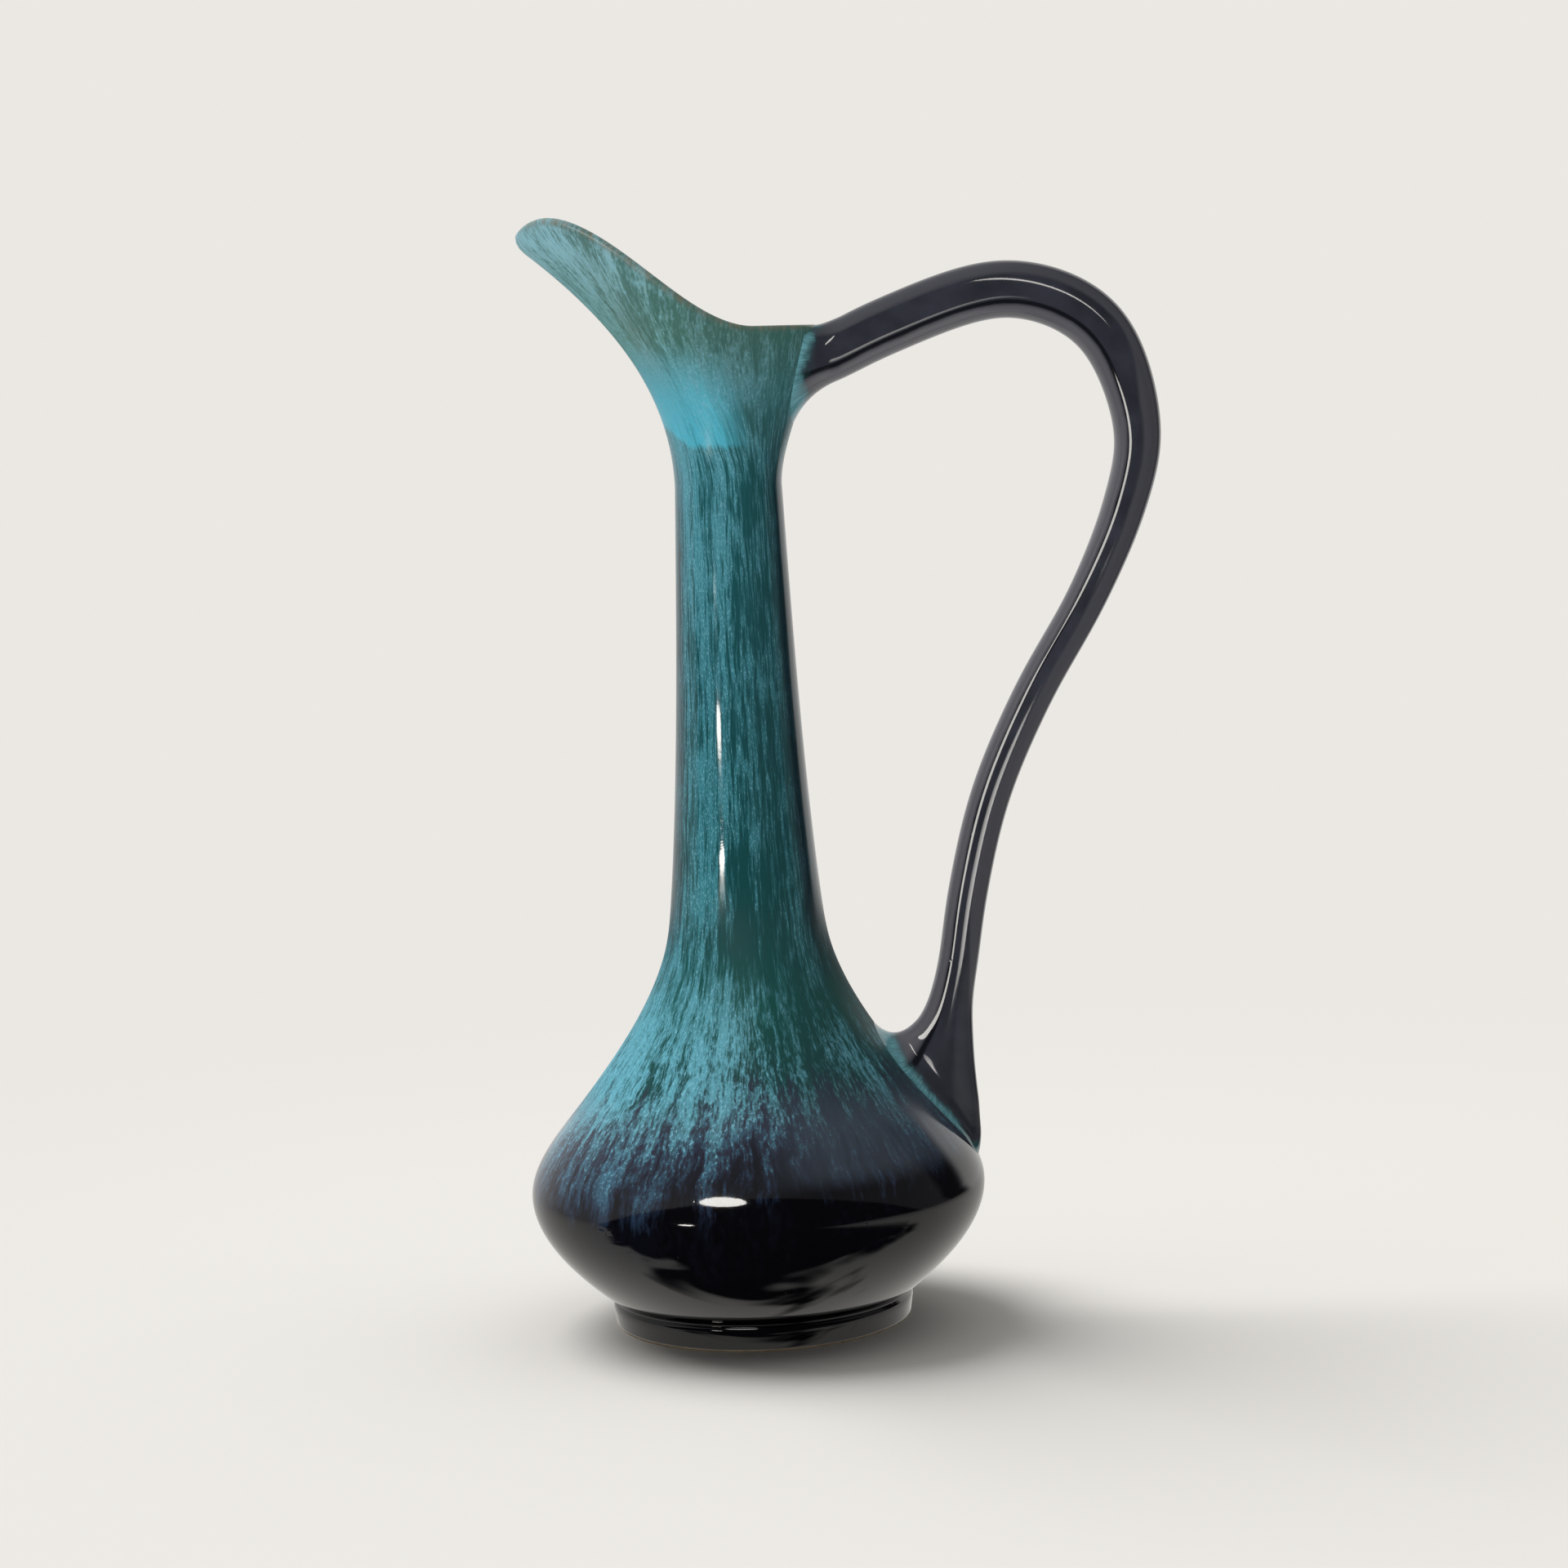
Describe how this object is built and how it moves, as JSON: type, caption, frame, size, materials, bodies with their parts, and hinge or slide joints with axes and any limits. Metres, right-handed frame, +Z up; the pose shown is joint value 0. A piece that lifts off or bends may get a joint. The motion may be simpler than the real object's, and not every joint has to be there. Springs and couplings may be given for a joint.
{
  "type": "pottery pitcher",
  "caption": "Long-necked glazed pottery pitcher with a round footed belly, a raised pouring spout and a tall looped handle.",
  "frame": {"origin": "on the table, under the middle of the whole pitcher between the belly's front and the handle's back", "axes": "+Z up, +X towards the handle, -X towards the spout, +Y away from the side that is seen with the spout on the left"},
  "size_m": [0.1712, 0.1186, 0.2877],
  "materials": {
    "navy_glaze": "gloss",
    "teal_glaze": "gloss",
    "seam_glaze": "gloss"
  },
  "bodies": {
    "root": {"foot_ring": "navy_glaze", "bowl": "navy_glaze", "shoulder": "teal_glaze", "neck": "teal_glaze", "spouted_mouth": "teal_glaze", "handle": "navy_glaze", "upper_joint_coil": "seam_glaze", "lower_joint_coil": "seam_glaze"}
  },
  "joints": []
}
